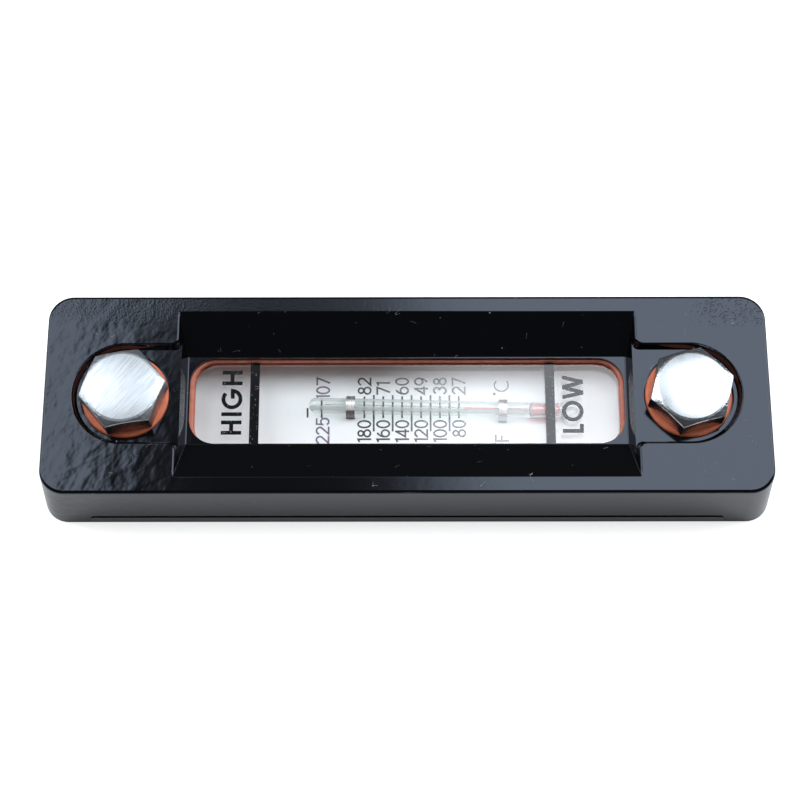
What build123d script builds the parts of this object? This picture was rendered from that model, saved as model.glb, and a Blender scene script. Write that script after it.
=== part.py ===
from build123d import *
import math
import os

# Tank level gauge with thermometer, lying on its back.
# X runs along the gauge from the HIGH end (-X) to the LOW end (+X), Y across it, +Z out of the
# front. The origin is the middle of the rear face, which seals against the tank wall (z = 0).

# ---- hollow bolts -------------------------------------------------------------------------
bolt_pitch = 127.0            # between the two bolt axes
thread_diameter = 10.0
bolt_length = 40.0            # under the head
tip_chamfer = 1.0
shank_undercut = 0.2          # plain shank inside the gauge, below the thread's radius
head_across_flats = 17.0
head_height = 6.4             # washer face included
washer_face_height = 0.4
head_crown_angle = 30.0       # slope of the turned chamfer on top of the head
head_crown_margin = 0.8       # flat of the hex beyond the flat top's circle
oil_hole_diameter = 4.4       # down the axis and across the shank
high_bolt_turn = 10.0         # how far each hexagon is turned, degrees
low_bolt_turn = 16.0

# ---- seals under the heads and against the tank -------------------------------------------
seal_bore_clearance = 0.15    # a seal's hole around the thread
seal_rim_clearance = 0.3      # a seal's rim in its seat
head_seal_margin = 0.05       # rim of the head seal beyond the hexagon's corners
head_seal_thickness = 2.2
head_seal_proud = 0.2         # above the pocket floor
head_seal_shoulder = 0.7      # height of the rounded shoulder of the head seal
tank_seal_width = 3.0         # beyond the thread, all round
tank_seal_thickness = 2.0

# ---- housing ------------------------------------------------------------------------------
housing_depth = 19.5
front_width = 46.7
end_margin = 18.05            # front face beyond a bolt axis
front_corner_radius = 5.7
side_growth = 1.3             # each long side is this much further out at the rear face
end_growth = 1.75             # and each end this much
rear_corner_radius = 5.5
front_edge_radius = 0.7
trim_land_height = 3.6        # upright land along the foot of the long sides
trim_land_inset = 0.03        # its face inside the rear outline
trim_land_end = 9.15          # the land stops this far from the ends of the front face
trim_land_corner = 1.2

# ---- pockets around the bolt heads ----------------------------------------------------------
pocket_depth = 1.9
pocket_land = 0.75            # pocket floor beyond the seal seat
pocket_slope_run = 0.8
pocket_mouth_radius = 1.8     # where the pocket's side meets the window recess
pocket_edge_radius = 0.5
bolt_bore_clearance = 0.7     # oil gap around the thread

# ---- window recess and opening --------------------------------------------------------------
recess_side_margin = 3.75     # front face beside the recess
recess_end_gap = 11.75        # from a bolt axis to the recess
recess_end_run = 1.75         # how far an end wall leans in
recess_valley_radius = 0.5    # where the end walls meet the long walls
recess_foot_radius = 0.35     # where the end walls meet the recess floor
opening_width = 20.5
opening_corner_radius = 6.0
opening_ledge_end = 0.6       # recess floor beyond the opening at the ends
opening_ledge_side = 0.25     # and along the sides
rim_thickness = 1.2

# ---- window stack ---------------------------------------------------------------------------
stack_clearance = 0.3         # gasket, pane and tray in the housing, all round
window_gasket_thickness = 1.2
gasket_web = 0.6              # gasket round the edge of the pane
gasket_lip_end = 0.7          # front lip showing inside the opening at the ends
gasket_lip_far = 0.35         # along the far side
gasket_lip_near = 0.1         # along the near side
gasket_rear_lip = 0.4         # thickness of the lip behind the pane
gasket_rear_end = 0.8         # rear lip inside the opening at the ends
gasket_rear_far = 0.05        # along the far side
gasket_rear_near = 0.3        # along the near side
gasket_corner_radius = 5.3
stack_bearing_end = 2.0       # gasket and tray beyond the opening at the ends
stack_bearing_side = 2.65     # and along the sides
pane_thickness = 3.2
pane_chamfer = 0.3
mark_thickness = 0.06
mark_end_gap = 0.05           # between a level bar and the gasket
level_bar_width = 2.15
high_bar_place = -34.8
low_bar_place = 32.7

# ---- scale tray and its print ---------------------------------------------------------------
tray_floor = 1.2
tray_end_wall = 1.5
tray_side_wall = 1.6
tray_corner_radius = 6.5
scale_middle = 1.3            # the scale's centre line, off the tray's
degree_pitch = 0.219          # per degree Fahrenheit
lowest_degree = 80
highest_degree = 180
degree_step = 10
lowest_degree_place = 12.05   # where the lowest degree lies along the gauge
tick_width = 0.4
numbered_tick = (-2.65, 2.65)     # ends from the centre line, Fahrenheit side first
between_tick = (-5.9, 2.95)
extra_ticks = {225: (-2.65, 1.7), 240: (-2.5, -0.2)}

# ---- thermometer ----------------------------------------------------------------------------
tube_diameter = 3.6
tube_start = -22.6
tube_end = 39.3
tube_turn = -1.4              # it lies a little askew
tube_middle_offset = 0.42
tube_print_clearance = 0.02   # between the glass and the printed lines under it
tube_headroom = 0.52          # from the glass to the pane
tube_tip_radius = 0.9         # pulled tip beyond the bulb
tube_tip_length = 2.6
bulb_start = 28.0
bulb_length = 7.8
bulb_wall = 0.35
capillary_diameter = 0.5
spirit_top = 13.3             # end of the red column
spirit_clearance = 0.02
clip_width = 2.0
clip_thickness = 0.38
clip_slack = 0.25
clip_slot_clearance = 0.08
high_clip_place = -13.0
low_clip_place = 22.1

# ---- oil ducts --------------------------------------------------------------------------------
duct_width = 6.0
duct_height = 3.4

# ---- back plate -------------------------------------------------------------------------------
plate_inset = 0.8             # behind the rear face
plate_thickness = 2.4
plate_clearance = 0.2
plate_bearing_end = 2.1       # plate seat beyond the stack's pocket at the ends
plate_bearing_side = 7.7      # and along the sides
plate_corner_radius = 5.0
back_gasket_thickness = 0.8

# ---- plate screws -----------------------------------------------------------------------------
screw_diameter = 3.0
screw_head_diameter = 5.6
screw_length = 8.0
screw_spacing = 42.0
screw_edge = 3.7              # from the plate seat's side
screw_hole_clearance = 0.2    # in the plate and its gasket
screw_thread_clearance = 0.03
screw_socket_width = 2.0
screw_socket_depth = 1.0
tapped_extra = 0.8            # tapped hole beyond the screw's tip

# ---- sizes that follow --------------------------------------------------------------------------
bolt_x = bolt_pitch / 2
thread_radius = thread_diameter / 2
shank_radius = thread_radius - shank_undercut
hex_corner_radius = head_across_flats / math.sqrt(3)
head_seal_radius = hex_corner_radius + head_seal_margin
seal_hole_radius = thread_radius + seal_bore_clearance
seal_seat_radius = head_seal_radius + seal_rim_clearance
tank_seal_radius = thread_radius + tank_seal_width
tank_seat_radius = tank_seal_radius + seal_rim_clearance
bolt_bore_radius = thread_radius + bolt_bore_clearance

front_length = bolt_pitch + 2 * end_margin
rear_half_length = front_length / 2 + end_growth
rear_half_width = front_width / 2 + side_growth

pocket_floor_z = housing_depth - pocket_depth
seal_top_z = pocket_floor_z + head_seal_proud
seal_seat_z = seal_top_z - head_seal_thickness
pocket_floor_half = seal_seat_radius + pocket_land
pocket_top_half = pocket_floor_half + pocket_slope_run
pocket_slope_angle = math.degrees(math.atan(pocket_slope_run / pocket_depth))

recess_half_length = bolt_x - recess_end_gap
recess_half_width = front_width / 2 - recess_side_margin
recess_floor_half_length = recess_half_length - recess_end_run
opening_half_length = recess_floor_half_length - opening_ledge_end
opening_half_width = opening_width / 2
recess_floor_half_width = opening_half_width + opening_ledge_side

gasket_mouth_half = opening_half_width - (gasket_lip_far + gasket_lip_near) / 2
gasket_mouth_middle = (gasket_lip_near - gasket_lip_far) / 2
gasket_rear_half = opening_half_width - (gasket_rear_far + gasket_rear_near) / 2
gasket_rear_middle = (gasket_rear_near - gasket_rear_far) / 2

stack_half_length = opening_half_length + stack_bearing_end
stack_half_width = opening_half_width + stack_bearing_side
stack_corner_radius = opening_corner_radius + min(stack_bearing_end, stack_bearing_side) / 2
well_half_length = stack_half_length + stack_clearance
well_half_width = stack_half_width + stack_clearance
well_corner_radius = stack_corner_radius + stack_clearance

plate_back_z = plate_inset
plate_front_z = plate_back_z + plate_thickness
plate_seat_z = plate_front_z + back_gasket_thickness
seat_half_length = well_half_length + plate_bearing_end
seat_half_width = well_half_width + plate_bearing_side
tray_top_z = plate_front_z + tray_floor
tube_axis_z = tray_top_z + mark_thickness + tube_print_clearance + tube_diameter / 2
tube_centre = (tube_start + tube_end) / 2
pane_back_z = tube_axis_z + tube_diameter / 2 + tube_headroom
pane_front_z = pane_back_z + pane_thickness
gasket_back_z = pane_back_z - gasket_rear_lip
rim_under_z = pane_front_z + window_gasket_thickness
recess_floor_z = rim_under_z + rim_thickness
recess_depth = housing_depth - recess_floor_z
duct_z = (tray_top_z + gasket_back_z) / 2
screw_y = seat_half_width - screw_edge
screw_places = [(column * screw_spacing, side * screw_y) for column in (-1, 0, 1) for side in (-1, 1)]


def plate_between(half_length, half_width, corner_radius, low_z, high_z):
    """Flat slab with rounded corners between two heights."""
    outline = RectangleRounded(2 * half_length, 2 * half_width, corner_radius)
    return extrude(Pos(0, 0, low_z) * outline, amount=high_z - low_z)


def upright_cylinder(radius, low_z, high_z, x=0.0, y=0.0):
    """Round bar along Z between two heights."""
    return Pos(x, y, (low_z + high_z) / 2) * Cylinder(radius, high_z - low_z)


def box_between(x_range, y_range, z_range):
    """Box from its least and greatest coordinates."""
    sizes = [high - low for low, high in (x_range, y_range, z_range)]
    middle = [(high + low) / 2 for low, high in (x_range, y_range, z_range)]
    return Pos(*middle) * Box(*sizes)


def trapezoid_prism(plane, floor_half, top_half, reach):
    """Bar whose section widens from the recess floor to the front face and on above it."""
    over = 1.0
    over_half = floor_half + (top_half - floor_half) * (recess_depth + over) / recess_depth
    low, high = recess_floor_z, housing_depth + over
    outline = [(-floor_half, low), (floor_half, low), (over_half, high), (-over_half, high)]
    return extrude(plane * make_face(Polyline(*outline, close=True)), amount=reach, both=True)


def recess_cutter():
    """Window recess: where two trapezoid bars cross, so every wall is flat."""
    lengthwise = trapezoid_prism(Plane.YZ, recess_floor_half_width, recess_half_width, front_length)
    across = trapezoid_prism(Plane.XZ, recess_floor_half_length, recess_half_length, front_length)
    cutter = lengthwise & across
    tall = 0.9 * recess_depth
    slanted = [edge for edge in cutter.edges() if edge.bounding_box().size.Z > tall]
    cutter = fillet(ShapeList(slanted), recess_valley_radius)
    feet = [
        edge for edge in cutter.edges()
        if abs(edge.center().Z - recess_floor_z) < 1e-4 and edge.bounding_box().size.X < 1e-3
    ]
    return fillet(ShapeList(feet), recess_foot_radius)


def pocket_cutter(side):
    """U-shaped pocket around a bolt head, open into the recess, with leaning walls."""
    inner_x = recess_floor_half_length - pocket_floor_half
    separation = bolt_x - inner_x
    outline = Pos(side * (inner_x + separation / 2), 0, pocket_floor_z) * SlotCenterToCenter(
        separation, 2 * pocket_floor_half
    )
    return extrude(outline, amount=pocket_depth, taper=-pocket_slope_angle)


def bolt_passage(side):
    """Seat of the head seal, bore of the bolt, seat of the tank seal and the duct to the window."""
    x = side * bolt_x
    passage = upright_cylinder(seal_seat_radius, seal_seat_z, housing_depth, x)
    passage += upright_cylinder(bolt_bore_radius, 0, housing_depth, x)
    passage += upright_cylinder(tank_seat_radius, 0, tank_seal_thickness, x)
    duct_ends = sorted((x, side * (well_half_length - stack_clearance)))
    duct_heights = (duct_z - duct_height / 2, duct_z + duct_height / 2)
    return passage + box_between(duct_ends, (-duct_width / 2, duct_width / 2), duct_heights)


def guard_housing():
    """Die-cast housing, with every pocket and bore that the other pieces sit in."""
    rear_outline = RectangleRounded(2 * rear_half_length, 2 * rear_half_width, rear_corner_radius)
    front_outline = Pos(0, 0, housing_depth) * RectangleRounded(front_length, front_width, front_corner_radius)
    body = loft([rear_outline, front_outline], ruled=True)
    front_edges = body.faces().sort_by(Axis.Z)[-1].edges()
    body = fillet(front_edges, front_edge_radius)
    body += trim_land()

    hollow = recess_cutter() + pocket_cutter(-1) + pocket_cutter(1)
    body -= hollow
    body = soften_front_edges(body)

    body -= plate_between(
        opening_half_length, opening_half_width, opening_corner_radius, rim_under_z, recess_floor_z
    )
    body -= plate_between(well_half_length, well_half_width, well_corner_radius, 0, rim_under_z)
    body -= plate_between(seat_half_length, seat_half_width, plate_corner_radius, 0, plate_seat_z)
    for side in (-1, 1):
        body -= bolt_passage(side)
    for x, y in screw_places:
        tapped_radius = screw_diameter / 2 + screw_thread_clearance
        body -= upright_cylinder(tapped_radius, 0, plate_back_z + screw_length + tapped_extra, x, y)
    return body


def trim_land():
    """Upright band along the foot of both long sides, left where the casting was trimmed."""
    half_length = front_length / 2 - trim_land_end
    half_width = rear_half_width - trim_land_inset
    band = box_between((-half_length, half_length), (-half_width, half_width), (0, trim_land_height))
    upper_ends = [edge for edge in band.edges().filter_by(Axis.Y) if edge.center().Z > trim_land_height / 2]
    return fillet(ShapeList(upper_ends), trim_land_corner)


def soften_front_edges(body):
    """Round the mouths of the pockets and the edges where the recess meets the front face."""
    def is_mouth(edge):
        box = edge.bounding_box()
        near_recess = abs(abs(edge.center().X) - recess_half_length) < pocket_mouth_radius
        near_side = abs(abs(edge.center().Y) - pocket_top_half) < pocket_slope_run
        slanted = box.size.Z > 0.5 * pocket_depth and box.size.Z < 1.1 * pocket_depth
        return near_recess and near_side and slanted

    mouths = ShapeList([edge for edge in body.edges() if is_mouth(edge)])
    body = fillet(mouths, pocket_mouth_radius)

    def is_inner_front(edge):
        box = edge.bounding_box()
        level = abs(box.min.Z - housing_depth) < 1e-4 and abs(box.max.Z - housing_depth) < 1e-4
        inside = max(abs(box.min.X), abs(box.max.X)) < bolt_x + pocket_top_half + 0.1
        return level and inside and max(abs(box.min.Y), abs(box.max.Y)) < recess_half_width + 0.1

    rims = ShapeList([edge for edge in body.edges() if is_inner_front(edge)])
    return fillet(rims, pocket_edge_radius)


def window_gasket():
    """Soft channel round the edge of the pane, its lips showing inside the opening."""
    frame = plate_between(stack_half_length, stack_half_width, stack_corner_radius, gasket_back_z, rim_under_z)
    frame -= pane_slab()
    front_length = opening_half_length - gasket_lip_end
    mouth = plate_between(front_length, gasket_mouth_half, gasket_corner_radius, pane_front_z, rim_under_z)
    rear_length = opening_half_length - gasket_rear_end
    hole = plate_between(rear_length, gasket_rear_half, gasket_corner_radius, gasket_back_z, pane_back_z)
    return frame - Pos(0, gasket_mouth_middle, 0) * mouth - Pos(0, gasket_rear_middle, 0) * hole


def pane_slab():
    """The pane before its edges are broken."""
    return plate_between(
        stack_half_length - gasket_web, stack_half_width - gasket_web, stack_corner_radius - gasket_web,
        pane_back_z, pane_front_z,
    )


def sight_glass():
    """Clear pane, its edges broken by a small chamfer."""
    pane = pane_slab()
    flat_edges = pane.faces().sort_by(Axis.Z)[0].edges() + pane.faces().sort_by(Axis.Z)[-1].edges()
    return chamfer(flat_edges, pane_chamfer)


def level_marks():
    """The two printed bars on the pane, across the whole gasket opening."""
    half_width = gasket_mouth_half - mark_end_gap
    bars = []
    for place in (high_bar_place, low_bar_place):
        across = (place - level_bar_width / 2, place + level_bar_width / 2)
        layer = (pane_front_z, pane_front_z + mark_thickness)
        reach = (gasket_mouth_middle - half_width, gasket_mouth_middle + half_width)
        bars.append(box_between(across, reach, layer))
    return bars


def tube_frame():
    """Place of the thermometer: its axis along X, a little askew, lying on the tray's floor."""
    return Pos(tube_centre, tube_middle_offset, tube_axis_z) * Rot(0, 0, tube_turn)


def clip_place(x):
    """Place of a clip around the thermometer at a distance along it."""
    return tube_frame() * Pos(x - tube_centre, 0, 0)


def clip_leg_y():
    """Middle of a clip's leg, from the clip's centre."""
    return tube_diameter / 2 + clip_slack + clip_thickness / 2


def thermometer_clip(x):
    """Metal strap over the glass: a half ring with two legs that go through the tray's floor."""
    inner = tube_diameter / 2 + clip_slack
    outer = inner + clip_thickness
    arch_z = -clip_slack
    foot_z = plate_front_z - tube_axis_z
    ring = Pos(0, 0, arch_z) * Rot(0, 90, 0) * (Cylinder(outer, clip_width) - Cylinder(inner, clip_width))
    strap = ring & box_between((-clip_width, clip_width), (-outer, outer), (arch_z, arch_z + outer))
    for side in (-1, 1):
        leg = sorted((side * inner, side * outer))
        strap += box_between((-clip_width / 2, clip_width / 2), leg, (foot_z, arch_z))
    return clip_place(x) * strap


def scale_tray():
    """White moulded tray: floor with the scale, walls that press the gasket and pane forward."""
    tray = plate_between(stack_half_length, stack_half_width, stack_corner_radius, plate_front_z, gasket_back_z)
    inner_length = stack_half_length - tray_end_wall
    inner_width = stack_half_width - tray_side_wall
    tray -= plate_between(inner_length, inner_width, tray_corner_radius, tray_top_z, gasket_back_z)
    port_z = (duct_z - duct_height / 2, gasket_back_z)
    tray -= box_between((-stack_half_length, stack_half_length), (-duct_width / 2, duct_width / 2), port_z)
    slot_y = clip_leg_y()
    slot_thickness = clip_thickness + 2 * clip_slot_clearance
    for x in (high_clip_place, low_clip_place):
        for side in (-1, 1):
            slot = Box(clip_width + 2 * clip_slot_clearance, slot_thickness, 4 * tray_floor)
            tray -= clip_place(x) * Pos(0, side * slot_y, tray_top_z - tube_axis_z) * slot
    return tray


def tick(degrees, ends):
    """One printed line across the scale at a temperature in Fahrenheit."""
    x = lowest_degree_place - (degrees - lowest_degree) * degree_pitch
    across = (x - tick_width / 2, x + tick_width / 2)
    along = (scale_middle + ends[0], scale_middle + ends[1])
    return box_between(across, along, (tray_top_z, tray_top_z + mark_thickness))


def scale_ticks():
    """Printed lines of the scale, under the thermometer and out to the numbers beside it."""
    ticks = [tick(degrees, ends) for degrees, ends in extra_ticks.items()]
    for degrees in range(lowest_degree, highest_degree + 1, degree_step):
        numbered = (degrees - lowest_degree) % (2 * degree_step) == 0
        ticks.append(tick(degrees, numbered_tick if numbered else between_tick))
    return ticks


def thermometer_profile(length_start, length_end, radius):
    """Half section of a round-ended rod along X, to be turned about X."""
    with BuildSketch() as profile:
        with BuildLine():
            start = (length_start, 0)
            shoulder = (length_start + radius, radius)
            middle = (length_start + radius * (1 - math.sqrt(0.5)), radius * math.sqrt(0.5))
            ThreePointArc(start, middle, shoulder)
            Line(shoulder, (length_end - radius, radius))
            end_middle = (length_end - radius * (1 - math.sqrt(0.5)), radius * math.sqrt(0.5))
            ThreePointArc((length_end - radius, radius), end_middle, (length_end, 0))
            Line((length_end, 0), start)
        make_face()
    return profile.sketch


def round_ended_rod(length_start, length_end, radius):
    """Rod along X with half-round ends."""
    return revolve(thermometer_profile(length_start, length_end, radius), Axis.X)


def bore_filling(radius_cut, column_top):
    """Bulb and column of the thermometer's bore, each radius smaller by the given cut."""
    bulb_radius = tube_diameter / 2 - bulb_wall - radius_cut
    bulb = round_ended_rod(bulb_start + radius_cut, bulb_start + bulb_length - radius_cut, bulb_radius)
    column = round_ended_rod(column_top, bulb_start + bulb_radius, capillary_diameter / 2 - radius_cut)
    return bulb + column


def thermometer_glass():
    """Sealed glass: round-ended tube with a thin tip beyond the bulb, bored for the spirit."""
    rod = round_ended_rod(tube_start, tube_end - tube_tip_length, tube_diameter / 2)
    tip = round_ended_rod(tube_end - 3 * tube_tip_length, tube_end, tube_tip_radius)
    bore_top = tube_start + tube_diameter
    glass = rod + tip - bore_filling(0, bore_top)
    return tube_frame() * Pos(-tube_centre, 0, 0) * glass


def thermometer_spirit():
    """Red spirit in the bulb and up the column."""
    return tube_frame() * Pos(-tube_centre, 0, 0) * bore_filling(spirit_clearance, spirit_top)


def hollow_bolt(side, turn):
    """Hexagon bolt, threaded behind the rear face, with an oil hole up its axis and across its shank."""
    x = side * bolt_x
    top_z = seal_top_z + head_height
    hexagon = RegularPolygon(head_across_flats / 2, 6, major_radius=False)
    head = extrude(Pos(0, 0, seal_top_z + washer_face_height) * Rot(0, 0, turn) * hexagon,
                   amount=head_height - washer_face_height)
    crown_radius = head_across_flats / 2 - head_crown_margin
    crown_reach = hex_corner_radius + 1.0
    crown_drop = (crown_reach - crown_radius) * math.tan(math.radians(head_crown_angle))
    crown = Pos(0, 0, top_z - crown_drop / 2) * Cone(crown_reach, crown_radius, crown_drop)
    crown += upright_cylinder(crown_reach, seal_top_z, top_z - crown_drop)
    head &= crown
    washer_radius = head_across_flats / 2 - head_crown_margin / 2
    bolt = head + upright_cylinder(washer_radius, seal_top_z, seal_top_z + washer_face_height)
    bolt += upright_cylinder(shank_radius, 0, seal_top_z)
    tip_z = seal_top_z - bolt_length
    thread = upright_cylinder(thread_radius, tip_z, 0)
    bolt += chamfer(thread.faces().sort_by(Axis.Z)[0].edges(), tip_chamfer)
    hole_radius = oil_hole_diameter / 2
    bolt -= upright_cylinder(hole_radius, tip_z, duct_z + hole_radius)
    bolt -= Pos(0, 0, duct_z) * Rot(0, 90, 0) * Cylinder(hole_radius, 2 * thread_diameter)
    return Pos(x, 0, 0) * bolt


def head_seal(side):
    """Soft washer under a bolt head, its outer shoulder rounded."""
    rim = upright_cylinder(head_seal_radius, seal_seat_z, seal_top_z)
    rim = fillet(rim.faces().sort_by(Axis.Z)[-1].edges(), head_seal_shoulder)
    rim -= upright_cylinder(seal_hole_radius, seal_seat_z, seal_top_z)
    return Pos(side * bolt_x, 0, 0) * rim


def tank_seal(side):
    """Soft washer between the housing and the tank wall, at its clamped height."""
    ring = upright_cylinder(tank_seal_radius, 0, tank_seal_thickness)
    ring -= upright_cylinder(seal_hole_radius, 0, tank_seal_thickness)
    return Pos(side * bolt_x, 0, 0) * ring


def back_gasket():
    """Flat frame between the back plate and its seat, holed for the screws."""
    frame = plate_between(
        seat_half_length - plate_clearance, seat_half_width - plate_clearance,
        plate_corner_radius - plate_clearance, plate_front_z, plate_seat_z,
    )
    frame -= plate_between(well_half_length, well_half_width, well_corner_radius, plate_front_z, plate_seat_z)
    hole_radius = screw_diameter / 2 + screw_hole_clearance
    for x, y in screw_places:
        frame -= upright_cylinder(hole_radius, plate_front_z, plate_seat_z, x, y)
    return frame


def screw_cone(extra):
    """Countersunk head, or with a clearance its seat, from the plate's back."""
    head_radius = screw_head_diameter / 2 + extra
    neck_radius = screw_diameter / 2 + extra
    height = head_radius - neck_radius
    return Pos(0, 0, plate_back_z + height / 2) * Cone(head_radius, neck_radius, height)


def back_plate():
    """Steel plate that closes the housing and carries the tray."""
    plate = plate_between(
        seat_half_length - plate_clearance, seat_half_width - plate_clearance,
        plate_corner_radius - plate_clearance, plate_back_z, plate_front_z,
    )
    hole_radius = screw_diameter / 2 + screw_hole_clearance
    for x, y in screw_places:
        plate -= upright_cylinder(hole_radius, plate_back_z, plate_front_z, x, y)
        plate -= Pos(x, y, 0) * screw_cone(screw_thread_clearance)
    return plate


def cover_screws():
    """Six countersunk screws that hold the back plate."""
    tip_z = plate_back_z + screw_length
    socket = extrude(Pos(0, 0, plate_back_z) * RegularPolygon(screw_socket_width / 2, 6, major_radius=False),
                     amount=screw_socket_depth)
    screw = screw_cone(0) + upright_cylinder(screw_diameter / 2, plate_back_z, tip_z) - socket
    return [Pos(x, y, 0) * screw for x, y in screw_places]


def write(name, shape):
    """Write one node; a list is a group of separate solids."""
    if isinstance(shape, list):
        shape = Compound(children=[Solid(piece.solid().wrapped) for piece in shape])
    export_step(shape, f"parts/{name}.step")


def main():
    os.makedirs("parts", exist_ok=True)
    write("guard_housing", guard_housing())
    write("window_gasket", window_gasket())
    write("sight_glass", sight_glass())
    write("level_marks", level_marks())
    write("scale_tray", scale_tray())
    write("scale_ticks", scale_ticks())
    write("thermometer_glass", thermometer_glass())
    write("thermometer_spirit", thermometer_spirit())
    write("thermometer_clip_high", thermometer_clip(high_clip_place))
    write("thermometer_clip_low", thermometer_clip(low_clip_place))
    write("back_gasket", back_gasket())
    write("back_plate", back_plate())
    write("cover_screws", cover_screws())
    for end, side, turn in (("high", -1, high_bolt_turn), ("low", 1, low_bolt_turn)):
        write(f"bolt_{end}", hollow_bolt(side, turn))
        write(f"head_seal_{end}", head_seal(side))
        write(f"tank_seal_{end}", tank_seal(side))


if __name__ == "__main__":
    main()
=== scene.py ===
"""Tank level gauge: finishes, printed scale, threaded hollow bolts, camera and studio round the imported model.

Everything is in metres in the model's own frame: X along the gauge with the HIGH end at -X, and Z out of
its front.
"""
import functools
import math

import bmesh
import bpy
import numpy as np
from mathutils import Matrix, Vector


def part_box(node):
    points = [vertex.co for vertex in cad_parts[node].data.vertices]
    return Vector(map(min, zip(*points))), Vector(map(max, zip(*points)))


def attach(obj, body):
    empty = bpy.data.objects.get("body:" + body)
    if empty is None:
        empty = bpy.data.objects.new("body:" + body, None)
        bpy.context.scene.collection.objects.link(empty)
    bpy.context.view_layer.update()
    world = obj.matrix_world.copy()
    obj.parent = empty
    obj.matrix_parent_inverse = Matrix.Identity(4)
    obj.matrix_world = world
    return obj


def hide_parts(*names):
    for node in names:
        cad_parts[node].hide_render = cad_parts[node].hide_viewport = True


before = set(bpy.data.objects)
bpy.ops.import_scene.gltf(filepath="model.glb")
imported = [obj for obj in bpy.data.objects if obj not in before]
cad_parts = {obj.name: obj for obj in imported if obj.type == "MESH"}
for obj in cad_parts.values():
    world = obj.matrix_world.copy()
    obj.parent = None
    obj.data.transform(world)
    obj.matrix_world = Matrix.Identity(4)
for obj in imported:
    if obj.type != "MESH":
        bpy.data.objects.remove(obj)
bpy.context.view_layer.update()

bl_info = {
    "name": "Tank level gauge",
    "version": (1, 0, 0),
    "blender": (4, 5, 0),
    "location": "View3D > Sidebar > Level gauge",
    "description": "Finishes, print and hollow bolts of a tank level gauge with thermometer",
    "category": "Add Mesh",
}

MM = 0.001
PRINT_THICKNESS = 0.05 * MM
LAMP_REACH = 1.1  # from the gauge to each soft box, in metres
SMOOTH = {"interpolation_type": "SMOOTHSTEP"}  # Map Range goes from end to end on an S curve
COLOUR_A, COLOUR_B, MIXED_COLOUR = 6, 7, 2  # the colour inputs and the colour output of a Mix node


# ---------------------------------------------------------------- small helpers
def linear(hex_text):
    """Linear RGBA of an sRGB hex colour: each channel c becomes ((c + 0.055) / 1.055) to the power 2.4."""
    c = np.array([int(hex_text[i : i + 2], 16) for i in (1, 3, 5)]) / 255
    c = np.where(c <= 0.04045, c / 12.92, ((c + 0.055) / 1.055) ** 2.4)
    return (*[float(v) for v in c], 1.0)


def per_size(size_mm):
    """The texture scale at which a pattern's feature is size_mm across: one over its size in metres."""
    return 1.0 / (size_mm * MM)


def add_node(tree, kind, inputs=(), **settings):
    """Add one shader node. settings are its own properties. inputs are by name or number, or in their order,
    and each is a value, an output socket, or a node, of which the first output is taken."""
    made = tree.nodes.new("ShaderNode" + kind)
    for key, value in settings.items():
        setattr(made, key, value)
    for key, value in inputs.items() if isinstance(inputs, dict) else enumerate(inputs):
        if isinstance(value, bpy.types.Node):
            value = value.outputs[0]
        if isinstance(value, bpy.types.NodeSocket):
            tree.links.new(value, made.inputs[key])
        else:
            made.inputs[key].default_value = value
    return made


def start_nodes(thing):
    """Empty the nodes of a material, lamp or world, and give the function that adds nodes there."""
    thing.use_nodes = True
    thing.node_tree.nodes.clear()
    return functools.partial(add_node, thing.node_tree)


def start_material(name):
    """An empty material, the function that adds nodes to it, and its Object coordinates."""
    material = bpy.data.materials.new(name)
    add = start_nodes(material)
    return material, add, add("TexCoord").outputs["Object"]


def dress(node, material):
    """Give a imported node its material."""
    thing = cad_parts[node]
    if thing.material_slots:
        thing.material_slots[0].material = material
    else:
        thing.data.materials.append(material)


def new_piece(name, vertices, faces, material, replaced=()):
    """A mesh object from arrays of corners and faces, riding on the one body."""
    mesh = bpy.data.meshes.new(name)
    mesh.from_pydata(vertices.tolist(), [], faces)
    mesh.validate()
    mesh.materials.append(material)
    mesh.update()
    piece = bpy.data.objects.new(name, mesh)
    bpy.context.scene.collection.objects.link(piece)
    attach(piece, "root")
    if replaced:
        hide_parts(*replaced)
    return piece


# ---------------------------------------------------------------- sizes and colours
class GaugePaintSettings(bpy.types.PropertyGroup):
    """The housing's enamel."""

    colour: bpy.props.FloatVectorProperty(
        name="Paint colour", description="Gloss black enamel on the cast housing",
        subtype="COLOR", size=4, min=0, max=1, default=linear("#08080A"))
    lump_height: bpy.props.FloatProperty(
        name="Lump height", description="How far the cast skin rises and falls under the paint",
        subtype="DISTANCE", unit="LENGTH", default=0.085 * MM, precision=6)


class GaugePrintSettings(bpy.types.PropertyGroup):
    """The pens and sizes of the words and numerals."""

    word_stroke: bpy.props.FloatProperty(
        name="Word stroke", description="Width of the strokes of HIGH and LOW",
        unit="LENGTH", default=0.90 * MM, precision=6)
    numeral_height: bpy.props.FloatProperty(
        name="Numeral height", description="Height of the degree numerals",
        unit="LENGTH", default=3.2 * MM, precision=6)
    numeral_width: bpy.props.FloatProperty(
        name="Numeral width", description="Width of a degree numeral",
        unit="LENGTH", default=2.0 * MM, precision=6)
    numeral_gap: bpy.props.FloatProperty(
        name="Numeral gap", description="Gap between two numerals",
        unit="LENGTH", default=0.22 * MM, precision=6)
    numeral_stroke: bpy.props.FloatProperty(
        name="Numeral stroke", description="Width of a numeral's strokes",
        unit="LENGTH", default=0.40 * MM, precision=6)


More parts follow.
